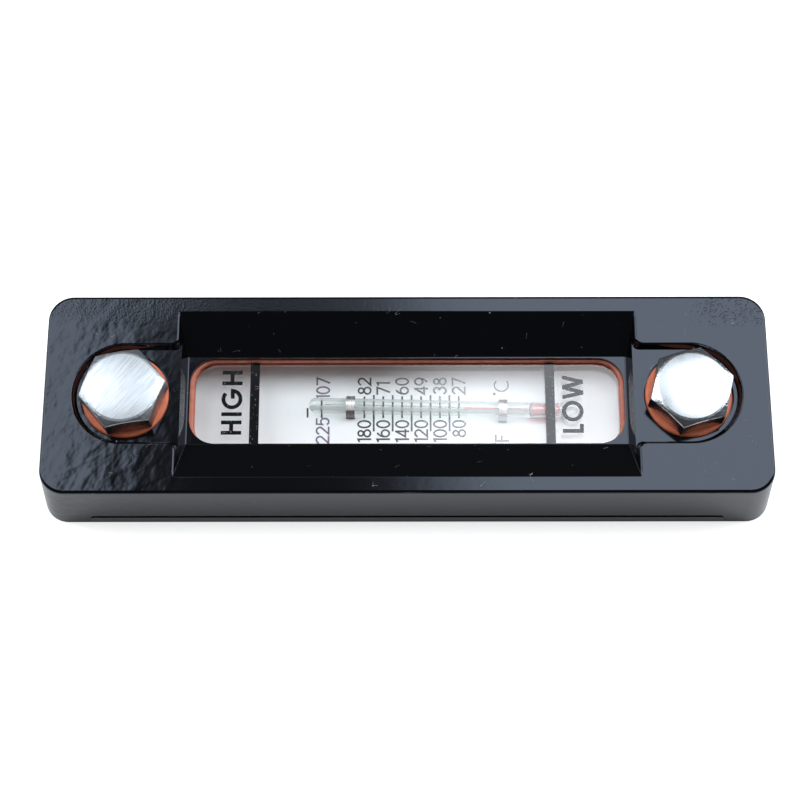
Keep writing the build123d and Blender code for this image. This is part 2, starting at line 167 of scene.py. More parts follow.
class GaugeBoltSettings(bpy.types.PropertyGroup):
    """The hollow bolts' thread, head and plating."""

    thread_pitch: bpy.props.FloatProperty(
        name="Thread pitch", description="Distance from one thread to the next",
        unit="LENGTH", default=1.5 * MM, precision=6)
    thread_depth: bpy.props.FloatProperty(
        name="Thread depth", description="From crest to root",
        unit="LENGTH", default=0.85 * MM, precision=6)
    across_flats: bpy.props.FloatProperty(
        name="Across flats", description="Spanner size of the head",
        unit="LENGTH", default=17.0 * MM, precision=6)
    zinc: bpy.props.FloatVectorProperty(
        name="Zinc", description="Bright zinc plating", subtype="COLOR", size=4, min=0, max=1,
        default=linear("#CACFD4"))


class GaugeStudioSettings(bpy.types.PropertyGroup):
    """The floor, the lamps and the camera's lens."""

    floor_size: bpy.props.FloatProperty(
        name="Floor size", description="Side of the pale floor", unit="LENGTH", default=6.0)
    floor_colour: bpy.props.FloatVectorProperty(
        name="Floor colour", description="Matt pale floor", subtype="COLOR", size=4, min=0, max=1,
        default=linear("#F2F2F2"))
    board_glow: bpy.props.FloatProperty(
        name="Board glow", description="The floor's own white for the eye, beside what the lamps give it",
        subtype="FACTOR", min=0, max=1, default=0.76)
    lamp: bpy.props.FloatProperty(
        name="Lamp radiance", description="How bright the right soft box is to look at", default=5.2)
    lens: bpy.props.FloatProperty(
        name="Lens", description="Focal length in millimetres on a 36 mm sensor",
        unit="CAMERA", default=83.47)


# ---------------------------------------------------------------- print: strokes
def arc(cx, cy, rx, ry, start, end, count=25):
    """Points on an ellipse: centre plus radii times cosine and sine of evenly spaced angles in degrees."""
    a = np.radians(np.linspace(start, end, count))
    return np.stack([cx + rx * np.cos(a), cy + ry * np.sin(a)], 1)


def ribbon(path, width, closed=False):
    """A flat band along a path: each point moves half the width to both sides along the bisector of the
    normals of the runs that meet there, lengthened by one over the cosine of half the turn so that the edges
    stay parallel."""
    path = np.asarray(path, float)
    runs = np.diff(np.vstack([path, path[:1]]) if closed else path, axis=0)
    normals = np.stack([-runs[:, 1], runs[:, 0]], 1) / np.linalg.norm(runs, axis=1)[:, None]
    before = np.roll(normals, 1, 0) if closed else np.vstack([normals[:1], normals])
    after = normals if closed else np.vstack([normals, normals[-1:]])
    middle = before + after
    middle /= np.maximum((middle * after).sum(1), 0.3)[:, None]
    return path + middle * width / 2, path - middle * width / 2


def band_mesh(left, right, closed=False):
    """Corners and faces of a slab between two edge lines, at heights 0 and 1: a four-cornered section carried
    along, with end faces unless it is closed."""
    n = len(left)
    foot, top = np.zeros(n), np.ones(n)
    corners = np.concatenate([np.c_[left, foot], np.c_[right, foot], np.c_[right, top], np.c_[left, top]])
    i = np.arange(n if closed else n - 1)
    j = (i + 1) % n
    sides = ((0, 1), (1, 2), (2, 3), (3, 0))
    faces = np.concatenate([np.stack([a * n + i, a * n + j, b * n + j, b * n + i], 1) for a, b in sides])
    faces = faces[:, ::-1].tolist()
    if not closed:
        faces += [[0, n, 2 * n, 3 * n], [4 * n - 1, 3 * n - 1, 2 * n - 1, n - 1]]
    return corners, faces


def stroke(path, width, closed=False):
    """The slab of one pen stroke."""
    return band_mesh(*ribbon(path, width, closed), closed)


def leg(x_top, x_foot, width):
    """A slanting stroke cut level at top and foot: its level width is its width over the slant's cosine."""
    half = width / 2 * math.hypot(1, x_top - x_foot)
    left = np.array([[x_top - half, 1.0], [x_foot - half, 0.0]])
    return band_mesh(left + [2 * half, 0], left)


def glyph(sign, w, s):
    """Strokes of one sign in a box of width w and height 1, drawn with a pen s wide."""
    h = s / 2
    mid = w / 2
    if sign == "H":
        uprights = [stroke([[x, 0], [x, 1]], s) for x in (h, w - h)]
        return uprights + [stroke([[h, 0.5], [w - h, 0.5]], s)]
    if sign == "I":
        return [stroke([[mid, 0], [mid, 1]], s)]
    if sign == "L":
        return [stroke([[h, 1], [h, h], [w, h]], s)]
    if sign == "F":
        return [stroke([[h, 0], [h, 1 - h], [w, 1 - h]], s), stroke([[h, 0.52], [w * 0.9, 0.52]], s)]
    if sign == "G":
        bow = arc(mid, 0.5, mid - h, 0.515 - h, -4, -312, 41)
        return [stroke(np.vstack([[[w * 0.52, 0.465]], bow]), s)]
    if sign == "C":
        return [stroke(arc(mid, 0.5, mid - h, 0.51 - h, 47, 313, 33), s)]
    if sign in "O0":
        return [stroke(arc(mid, 0.5, mid - h, 0.51 - h, 0, 360, 41)[:-1], s, True)]
    if sign == "o":
        return [stroke(arc(mid, mid, mid - h, mid - h, 0, 360, 21)[:-1], s, True)]
    if sign == "W":
        t = s * 0.53
        feet = (t, w * 0.275, w * 0.5, w * 0.725, w - t)
        return [leg(feet[i + i % 2], feet[i + 1 - i % 2], s) for i in range(4)]
    if sign == "1":
        return [stroke([[0.0, 0.84], [w - h, 1 - h], [w - h, 0]], s)]
    if sign == "2":
        top = arc(mid, 1 - mid, mid - h, mid - h, 168, -32, 21)
        return [stroke(np.vstack([top, [[h, h]], [[w, h]]]), s)]
    if sign == "3":
        r = 0.25
        upper = arc(mid, 1 - h - (r - h / 2), mid - h * 1.4, r - h / 2, 160, -80, 21)
        lower = arc(mid, h + r, mid - h, r, 82, -160, 23)
        return [stroke(upper, s), stroke(lower, s)]
    if sign == "4":
        slant = [[w, 0.27], [h, 0.27], [w * 0.72, 1 - h]]
        return [stroke(slant, s), stroke([[w * 0.74, 1], [w * 0.74, 0]], s)]
    if sign == "5":
        bowl = arc(mid * 0.96, h + 0.29, mid - h, 0.29, 118, -150, 25)
        flag = [[w * 0.92, 1 - h], [w * 0.2, 1 - h], [h * 1.5, 0.53]]
        return [stroke(np.vstack([flag, bowl]), s)]
    if sign in "69":
        ring = arc(mid, h + 0.28, mid - h, 0.28, 0, 360, 33)[:-1]
        back = arc(w * 0.98, h + 0.30, w * 0.98 - h, 0.97 - 0.33, 180, 118, 15)
        parts = [(ring, True), (back, False)]
        if sign == "9":
            parts = [(np.array([w, 1.0]) - p, c) for p, c in parts]
        return [stroke(p, s, c) for p, c in parts]
    if sign == "7":
        return [stroke([[0, 1 - h], [w - h, 1 - h], [w * 0.28, 0]], s)]
    if sign == "8":
        upper = arc(mid, 0.745, mid - h * 1.9, 0.245 - h * 0.9, 0, 360, 29)[:-1]
        lower = arc(mid, 0.27 + h * 0.2, mid - h, 0.27 - h * 0.6, 0, 360, 31)[:-1]
        return [stroke(upper, s, True), stroke(lower, s, True)]
    raise ValueError(f"no strokes for {sign!r}")


class Print:
    """Gathers signs that read towards +Y with their tops to -X, as slabs on one plane."""

    def __init__(self, level):
        self.level, self.corners, self.faces, self.count = level, [], [], 0

    def sign(self, sign, foot_x, start_y, width, height, pen):
        """Put one sign: along the reading direction from start_y, its foot at foot_x."""
        for k, (corners, faces) in enumerate(glyph(sign, width / height, pen / height)):
            # each stroke is a little thicker than the one before, so that no two tops coincide
            thickness = PRINT_THICKNESS * (1 + 0.08 * k)
            placed = np.stack([
                foot_x - corners[:, 1] * height,
                start_y + corners[:, 0] * height,
                self.level + corners[:, 2] * thickness,
            ], 1)
            self.corners.append(placed)
            self.faces += [[corner + self.count for corner in face] for face in faces]
            self.count += len(placed)

    @staticmethod
    def digit_width(sign, s):
        """A 1 is narrower than the other numerals."""
        return s.numeral_width * (0.44 if sign == "1" else 1.0)

    def number(self, text, foot_x, start_y, s):
        """Put the numerals of text one after another."""
        for sign in text:
            self.sign(sign, foot_x, start_y, self.digit_width(sign, s), s.numeral_height, s.numeral_stroke)
            start_y += self.digit_width(sign, s) + s.numeral_gap

    @classmethod
    def number_width(cls, text, s):
        """Length of a number along its reading direction, gaps included."""
        return sum(cls.digit_width(sign, s) + s.numeral_gap for sign in text) - s.numeral_gap

    def piece(self, name, material):
        """The gathered signs as one piece."""
        return new_piece(name, np.concatenate(self.corners), self.faces, material)


# ---------------------------------------------------------------- materials
def specks(add, place, spacing_mm, share, radius, soft=False):
    """1 on a few small dots, 0 elsewhere: near the middles of a Voronoi pattern's cells, out to radius as a
    part of the spacing, in that share of the cells. Soft dots fall off smoothly from their middle."""
    cell = add("TexVoronoi", {"Vector": place, "Scale": per_size(spacing_mm)}).outputs
    if soft:
        dot = add("MapRange", (cell["Distance"], 0.0, radius, 1.0, 0.0), **SMOOTH)
    else:
        dot = add("Math", (cell["Distance"], radius), operation="LESS_THAN")
    pick = add("SeparateColor", (cell["Color"],))
    kept = add("Math", (pick, share), operation="LESS_THAN")
    return add("Math", (dot, kept), operation="MULTIPLY")


def fibres(add, place):
    """1 on short curled hairs 0.08 mm wide, 0 elsewhere: slices of a bent noise near its middle, kept where a
    second, wider noise is high."""
    curl = add("TexNoise", {"Vector": place, "Scale": per_size(3.4), "Detail": 0.0, "Distortion": 1.2})
    line = add("Math", (curl, 0.5, 0.006), operation="COMPARE")
    patches = add("TexNoise", {"Vector": place, "Scale": per_size(2.6), "Detail": 0.0})
    kept = add("Math", (patches, 0.76), operation="GREATER_THAN")
    return add("Math", (line, kept), operation="MULTIPLY")


def gloss_enamel():
    """Stove enamel over a die casting: near black, mirror-like, with the casting's lumps showing through as
    soft waves, a few dust nibs and fibres, and no colour of its own but what it mirrors."""
    s = bpy.context.scene.gauge_paint
    material, add, place = start_material("gloss_black_enamel")
    x, y, _ = add("SeparateXYZ", (place,)).outputs
    # lumps 2 to 4 mm across at the HIGH end, drawn out on a slant; they fade towards the middle
    slant = add(
        "Mapping", {"Vector": place, "Rotation": (0, 0, math.radians(-30)), "Scale": (1.0, 1.5, 1.0)},
        vector_type="TEXTURE")
    lumps = add("TexNoise", {"Vector": slant, "Scale": per_size(3.0), "Roughness": 0.42})
    high_end = add("MapRange", (x, -70 * MM, -34 * MM, 1.0, 0.10), **SMOOTH)
    # a fine pebble 0.5 mm across along the far rim
    pebble = add("TexNoise", {"Vector": place, "Scale": per_size(0.5)})
    far_rim = add("MapRange", (y, 15 * MM, 20 * MM), **SMOOTH)
    not_low = add("MapRange", (x, -55 * MM, 8 * MM, 1.0, 0.06), **SMOOTH)
    far_rim = add("Math", (far_rim, not_low), operation="MULTIPLY")
    # an orange peel 1.2 mm across everywhere, barely felt
    peel = add("TexNoise", {"Vector": place, "Scale": per_size(1.2), "Detail": 1.0})
    # blisters 0.5 mm wide in a patch at the far LOW corner
    blisters = add("TexNoise", {"Vector": place, "Scale": per_size(0.62), "Detail": 1.0})
    blisters = add("MapRange", (blisters, 0.50, 0.68), **SMOOTH)
    corner_x = add("MapRange", (x, 60 * MM, 70 * MM), **SMOOTH)
    corner_y = add("MapRange", (y, 13.5 * MM, 17.5 * MM), **SMOOTH)
    corner = add("Math", (corner_x, corner_y), operation="MULTIPLY")
    # a few single ones, 0.8 mm wide, along the far rim
    dots = specks(add, place, 1.3, 0.2, 0.3, soft=True)
    rim_x = add("MapRange", (x, 36 * MM, 42 * MM), **SMOOTH)
    rim_y = add("MapRange", (y, 18.5 * MM, 20 * MM), **SMOOTH)
    rim = add("Math", (rim_x, rim_y), operation="MULTIPLY")
    # the LOW end is faintly uneven too
    swell = add("TexNoise", {"Vector": place, "Scale": per_size(3.4), "Detail": 1.0})
    low_end = add("MapRange", (x, 48 * MM, 60 * MM), **SMOOTH)
    # each layer: its pattern, where it lies, and its height as a part of the lump height
    height = 0.0
    for pattern, where, share in (
        (lumps, high_end, 1.0), (pebble, far_rim, 0.45), (peel, 1.0, 0.035), (blisters, corner, 0.28),
        (dots, rim, 0.168), (swell, low_end, 0.22),
    ):
        layer = add("Math", (pattern, where), operation="MULTIPLY")
        height = add("Math", (layer, share, height), operation="MULTIPLY_ADD")
    bump = add("Bump", {"Height": height, "Distance": s.lump_height})
    paint = add("BsdfPrincipled", {
        "Base Color": s.colour, "Roughness": 0.10, "IOR": 1.5, "Specular Tint": linear("#D0DCF0"),
        "Normal": bump})
    # dust nibs 0.2 to 0.4 mm wide and short curved fibres lying on the paint
    dust = fibres(add, place)
    for spacing_mm, share, radius in ((3.1, 0.12, 0.06), (1.9, 0.06, 0.05)):
        dust = add("Math", (dust, specks(add, place, spacing_mm, share, radius)), operation="ADD")
    dust = add("Math", (dust, 0.55), operation="MULTIPLY")
    lint = add("BsdfDiffuse", {"Color": linear("#A4A6AA")})
    add("OutputMaterial", {"Surface": add("MixShader", (dust, paint, lint))})
    return material


def red_silicone(name, hex_dark, hex_light):
    """Moulded silicone rubber: brick orange, satin, with a faint cloudy bloom."""
    material, add, place = start_material(name)
    bloom = add("TexNoise", {"Vector": place, "Scale": per_size(1.6), "Detail": 3.0})
    colour = add(
        "Mix", {"Factor": bloom, COLOUR_A: linear(hex_dark), COLOUR_B: linear(hex_light)}, data_type="RGBA")
    grain = add("TexNoise", {"Vector": place, "Scale": per_size(0.35)})
    bump = add("Bump", {"Height": grain, "Distance": 0.02 * MM})
    rubber = add("BsdfPrincipled", {
        "Base Color": colour.outputs[MIXED_COLOUR], "Roughness": 0.5, "IOR": 1.4, "Normal": bump})
    add("OutputMaterial", {"Surface": rubber})
    return material


def bright_zinc(name, brushed):
    """Zinc plate on turned steel: pale bluish metal, with fine slanting scratches where it is brushed."""
    s = bpy.context.scene.gauge_bolts
    material, add, place = start_material(name)
    cloud = add("TexNoise", {"Vector": place, "Scale": per_size(2.5), "Detail": 3.0})
    # scratches 0.2 mm wide and 6 mm long, drawn a little coarser than they are so that they show
    along = add(
        "Mapping", {"Vector": place, "Rotation": (0, 0, math.radians(50)), "Scale": (30.0, 1.0, 1.0)},
        vector_type="TEXTURE")
    lines = add("TexNoise", {"Vector": along, "Scale": per_size(0.22), "Detail": 3.0, "Roughness": 0.7})
    # below the flat top, on the turned crown and on all that is lower, the plating is a little smoother and
    # wavy, so it mirrors light and dark in streaks
    z = add("SeparateXYZ", (place,)).outputs[2]
    top_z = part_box("bolt_high")[1][2]
    below = add("MapRange", (z, top_z - 0.3 * MM, top_z - 0.05 * MM, 1.0, 0.0), **SMOOTH)
    waves = add("TexNoise", {"Vector": place, "Scale": per_size(1.1), "Roughness": 0.6})
    waves = add("Math", (waves, below), operation="MULTIPLY")
    rough = add("MapRange", (cloud, 0.3, 0.7, 0.24, 0.27), **SMOOTH)
    rough = add("Math", (lines, 0.34 * brushed, rough), operation="MULTIPLY_ADD")
    polish = add("MapRange", (below, 0.0, 1.0, 1.0, 0.8), **SMOOTH)
    rough = add("Math", (rough, polish), operation="MULTIPLY")
    grey = add("MapRange", (lines, 0.35, 0.65, 0.0, 0.55 * brushed), **SMOOTH)
    colour = add(
        "Mix", {"Factor": grey, COLOUR_A: s.zinc, COLOUR_B: linear("#8F9498")}, data_type="RGBA")
    height = 0.0
    for pattern, share in ((cloud, 0.1), (lines, brushed), (waves, 9.0)):
        height = add("Math", (pattern, share, height), operation="MULTIPLY_ADD")
    bump = add("Bump", {"Height": height, "Distance": 0.012 * MM})
    metal = add("BsdfPrincipled", {
        "Base Color": colour.outputs[MIXED_COLOUR], "Metallic": 1.0, "Roughness": rough, "Normal": bump})
    add("OutputMaterial", {"Surface": metal})
    return material


def let_lamps_in(add, glass, tint):
    """The output of a clear material: the glass itself to the eye and to mirrors, but only a tint to the
    lamps' light, so that what lies behind it is lit."""
    through = add("BsdfTransparent", {"Color": linear(tint)})
    path = add("LightPath").outputs
    lamp = add("Math", (path["Is Shadow Ray"], path["Is Diffuse Ray"]), operation="MAXIMUM")
    add("OutputMaterial", {"Surface": add("MixShader", (lamp, glass, through))})


def clear_acrylic():
    """Polished acrylic sheet: colourless, bends the view a little and mirrors the lamps sharply."""
    material, add, _ = start_material("clear_acrylic")
    pane = add("BsdfPrincipled", {
        "Base Color": linear("#FFFFFF"), "Roughness": 0.0, "IOR": 1.49, "Transmission Weight": 1.0})
    let_lamps_in(add, pane, "#FFFFFF")
    return material


def tube_glass():
    """Drawn thermometer glass: clear along its middle, where it works as a lens, and painted grey shade towards
    both sides, which stands in for the darker surroundings that the sides of the tube bend into view. The
    painted shade is on the upper half alone, so that a look through the middle stays clear, and thin over the
    bulb."""
    material, add, place = start_material("thermometer_glass")
    x, _, z = add("SeparateXYZ", (place,)).outputs
    low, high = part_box("thermometer_glass")
    middle = [(a + b) / 2 for a, b in zip(low, high)]
    # distance from the plane that stands along the tube's axis, which lies 1.4 degrees askew
    turned = add(
        "VectorRotate", {"Vector": place, "Center": (middle[0], middle[1], 0.0), "Angle": math.radians(1.4)},
        rotation_type="Z_AXIS")
    aside = add("Math", (add("SeparateXYZ", (turned,)).outputs[1], middle[1]), operation="SUBTRACT")
    aside = add("Math", (aside,), operation="ABSOLUTE")
    # where the painted shade may be: the upper half, and a quarter of it over the bulb
    upper = add("MapRange", (z, middle[2] - 0.3 * MM, middle[2] + 0.1 * MM), **SMOOTH)
    before_bulb = add("MapRange", (x, 26 * MM, 29 * MM, 1.0, 0.25), **SMOOTH)
    upper = add("Math", (upper, before_bulb), operation="MULTIPLY")
    # a band of painted grey shade from 0.6 mm aside outwards, and a thin painted grey line inside it
    band_in = add("MapRange", (aside, 0.50 * MM, 0.72 * MM), **SMOOTH)
    band_out = add("MapRange", (aside, 1.2 * MM, 1.75 * MM, 1.0, 0.3), **SMOOTH)
    band = add("Math", (band_in, band_out), operation="MULTIPLY")
    line_in = add("MapRange", (aside, 0.38 * MM, 0.48 * MM), **SMOOTH)
    line_out = add("MapRange", (aside, 0.50 * MM, 0.60 * MM, 1.0, 0.0), **SMOOTH)
    line = add("Math", (line_in, line_out), operation="MULTIPLY")
    grey = add("Math", (band, line), operation="MAXIMUM")
    grey = add("Math", (grey, upper), operation="MULTIPLY")
    # the glass is tinted grey where the painted shade lies
    tint = add(
        "Mix", {"Factor": grey, COLOUR_A: linear("#FFFFFF"), COLOUR_B: linear("#C9D2CF")}, data_type="RGBA")
    clear = add("BsdfPrincipled", {
        "Base Color": tint.outputs[MIXED_COLOUR], "Roughness": 0.02, "IOR": 1.47,
        "Transmission Weight": 1.0})
    # painted shade: a grey matt share mixed into the glass in the bands, in place of the darker surroundings
    # seen through the tube's sides
    painted_shade = add("BsdfDiffuse", {"Color": linear("#BFC7C5")})
    share = add("Math", (band, upper), operation="MULTIPLY")
    share = add("Math", (share, 0.62), operation="MULTIPLY")
    let_lamps_in(add, add("MixShader", (share, clear, painted_shade)), "#F2F5F4")
    return material


def printing_ink(name, hex_ink):
    """Screen ink: glossy and near black, or faded to purple grey, with tiny pin holes."""
    material, add, place = start_material(name)
    holes = specks(add, place, 0.45, 0.28, 0.24)
    colour = add(
        "Mix", {"Factor": holes, COLOUR_A: linear(hex_ink), COLOUR_B: linear("#8A8A90")}, data_type="RGBA")
    ink = add("BsdfPrincipled", {
        "Base Color": colour.outputs[MIXED_COLOUR], "Roughness": 0.11, "IOR": 1.5})
    add("OutputMaterial", {"Surface": ink})
    return material


def white_moulding():
    """The moulded white tray: matt, faintly uneven."""
    material, add, place = start_material("white_moulded_tray")
    uneven = add("TexNoise", {"Vector": place, "Scale": per_size(6.0)})
    colour = add(
        "Mix", {"Factor": uneven, COLOUR_A: linear("#E6EBEC"), COLOUR_B: linear("#EFF3F4")},
        data_type="RGBA").outputs[MIXED_COLOUR]
    # light that has come through the bulb leaves a pink patch, 8.4 by 3 mm, on the tray's near side
    in_patch = add(
        "Mapping", {"Vector": place, "Location": (31.2 * MM, -1.6 * MM, 0.0),
                    "Scale": (4.2 * MM, 1.5 * MM, 0.0)}, vector_type="TEXTURE")
    reach = add("VectorMath", (in_patch,), operation="LENGTH").outputs["Value"]
    patch = add("MapRange", (reach, 0.6, 1.1, 0.9, 0.0), **SMOOTH)
    mottle = add("TexNoise", {"Vector": place, "Scale": per_size(1.1)})
    patch = add("Math", (patch, mottle), operation="MULTIPLY")
    colour = add(
        "Mix", {"Factor": patch, COLOUR_A: colour, COLOUR_B: linear("#F08890")},
        data_type="RGBA").outputs[MIXED_COLOUR]
    plastic = add("BsdfPrincipled", {"Base Color": colour, "Roughness": 0.55})
    add("OutputMaterial", {"Surface": plastic})
    return material


def spring_steel(name, painted_dark_reflection):
    """Bright clip strip: on one, the foot on its near side is darkened by a painted dark reflection."""
    material, add, place = start_material(name)
    y = add("SeparateXYZ", (place,)).outputs[1]
    # painted dark reflection: the near foot is darkened by its place along y, standing in for the dark
    # surroundings it mirrors
    foot = add("MapRange", (y, -0.9 * MM, -0.4 * MM, 1.0, 0.0), **SMOOTH)
    foot = add("Math", (foot, painted_dark_reflection), operation="MULTIPLY")
    colour = add(
        "Mix", {"Factor": foot, COLOUR_A: linear("#B9BCBE"), COLOUR_B: linear("#4A4140")}, data_type="RGBA")
    rough = add("TexNoise", {"Vector": place, "Scale": per_size(0.8)})
    rough = add("MapRange", (rough, 0.3, 0.7, 0.22, 0.34), **SMOOTH)
    steel = add("BsdfPrincipled", {
        "Base Color": colour.outputs[MIXED_COLOUR], "Metallic": 1.0, "Roughness": rough})
    add("OutputMaterial", {"Surface": steel})
    return material


def dyed_spirit():
    """Dyed spirit in the bore: clear red that looks pinkish through the glass."""
    material, add, place = start_material("dyed_spirit")
    cloud = add("TexNoise", {"Vector": place, "Scale": per_size(1.2)})
    colour = add(
        "Mix", {"Factor": cloud, COLOUR_A: linear("#DC7078"), COLOUR_B: linear("#EE9CA0")}, data_type="RGBA")
    spirit = add("BsdfPrincipled", {
        "Base Color": colour.outputs[MIXED_COLOUR], "Roughness": 0.15, "IOR": 1.36})
    add("OutputMaterial", {"Surface": spirit})
    return material


def matt_white_board():
    """Painted board of the floor: matt white, lit by the lamps and with a share of its own white for the eye,
    so that it stays white behind the gauge while shadows still show on it."""
    s = bpy.context.scene.gauge_studio
    material, add, _ = start_material("matt_white_board")
    matt = add("BsdfDiffuse", {"Color": s.floor_colour})
    path = add("LightPath").outputs
    seen = add("Math", (path["Is Camera Ray"], path["Is Transmission Ray"]), operation="MAXIMUM")
    mirrored = add("Math", (path["Is Glossy Ray"], 0.2), operation="MULTIPLY")
    seen = add("Math", (seen, mirrored), operation="MAXIMUM")
    strength = add("Math", (seen, s.board_glow), operation="MULTIPLY")
    glow = add("Emission", {"Color": linear("#FFFFFF"), "Strength": strength})
    add("OutputMaterial", {"Surface": add("AddShader", (matt, glow))})
    return material


# ---------------------------------------------------------------- pieces
def bolt_surface(centre_x, head_turn, s):
    """The hollow bolt as one closed surface round its axis. Rows go from the closed end of the bore down to
    the tip, up the thread, the plain shank, under the head, up its side and crown to the middle of the top.
    The thread's radius is the crest less the depth times a triangle wave of height over pitch less angle over
    a turn, and never more than the chamfer's cone. The head's radius is half the width across flats over the
    cosine of the angle to the nearest flat, and its crown drops at 30 degrees outside the top's circle."""
    low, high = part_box("bolt_high")
    tip, top = low[2], high[2]
    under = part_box("head_seal_high")[1][2]
    # radii of the thread's crest, the plain shank, the oil bore and the flat top
    crest, shank, bore, flat_top = 5.0 * MM, 4.8 * MM, 2.2 * MM, 7.7 * MM
    bore_end = tip + 26 * MM
    mouth, tip_cone = 0.5 * MM, 1.0 * MM  # chamfers of the bore's mouth and of the tip
    edge, step = 0.15 * MM, 0.05 * MM  # broken edges of the head, and the shoulder above the thread
    soft_in, soft_out = 0.1 * MM, 0.12 * MM  # the flat top turns into the crown between these
    rows_a_pitch, columns = 10, 120
    angle = np.arange(columns) / columns * 2 * math.pi + head_turn
    from_flat = (angle - head_turn) % (math.pi / 3) - math.pi / 6
    hexagon = s.across_flats / 2 / np.cos(from_flat)
    ones = np.ones(columns)
    rows = [(0 * ones, bore_end * ones), (bore * ones, bore_end * ones),
            (bore * ones, (tip + mouth) * ones), ((bore + mouth) * ones, tip * ones)]
    z = np.arange(tip, 0.0, s.thread_pitch / rows_a_pitch)
    turn = (z[:, None] / s.thread_pitch - angle / (2 * math.pi)) % 1.0
    wave = np.abs(turn * 2 - 1)
    # the thread runs out over its last one and a half pitches, and its crests and roots are flattened
    fade = np.clip(-z / (1.5 * s.thread_pitch), 0, 1)[:, None]
    radius = crest - s.thread_depth * np.clip(wave * 1.25 - 0.12, 0, 1) * fade
    radius = np.minimum(radius, (crest - tip_cone + (z - tip))[:, None])
    rows += [(radius[k], z[k] * ones) for k in range(len(z))]
    rows += [(crest * ones, -step * ones), (shank * ones, 0.0 * ones), (shank * ones, under * ones)]
    rows += [(hexagon - edge, under * ones), (hexagon, (under + edge) * ones)]

    def crown(radius):
        """Height of the crown's cone."""
        return top - np.maximum(radius - flat_top, 0) * math.tan(math.radians(30))

    rows += [(hexagon, crown(hexagon) - edge), (hexagon - edge, crown(hexagon - edge)),
             ((flat_top + soft_out) * ones, crown((flat_top + soft_out) * ones)),
             ((flat_top - soft_in) * ones, top * ones), (0 * ones, top * ones)]
    r = np.array([a for a, _ in rows])
    height = np.array([b for _, b in rows])
    grid = np.stack([centre_x + r * np.cos(angle), r * np.sin(angle), height], 2)
    n = len(rows)
    index = np.arange(n * columns).reshape(n, columns)
    after = np.roll(index, -1, 1)
    quads = np.stack([index[:-1], after[:-1], after[1:], index[1:]], 2).reshape(-1, 4)
    return grid.reshape(-1, 3), quads


def weld(piece, sharp_deg):
    """Join the corners that meet at the poles, and mark the creases sharp."""
    b = bmesh.new()
    b.from_mesh(piece.data)
    bmesh.ops.remove_doubles(b, verts=b.verts, dist=1e-7)
    bmesh.ops.recalc_face_normals(b, faces=b.faces)
    b.to_mesh(piece.data)
    b.free()
    piece.data.shade_smooth()
    piece.data.set_sharp_from_angle(angle=math.radians(sharp_deg))


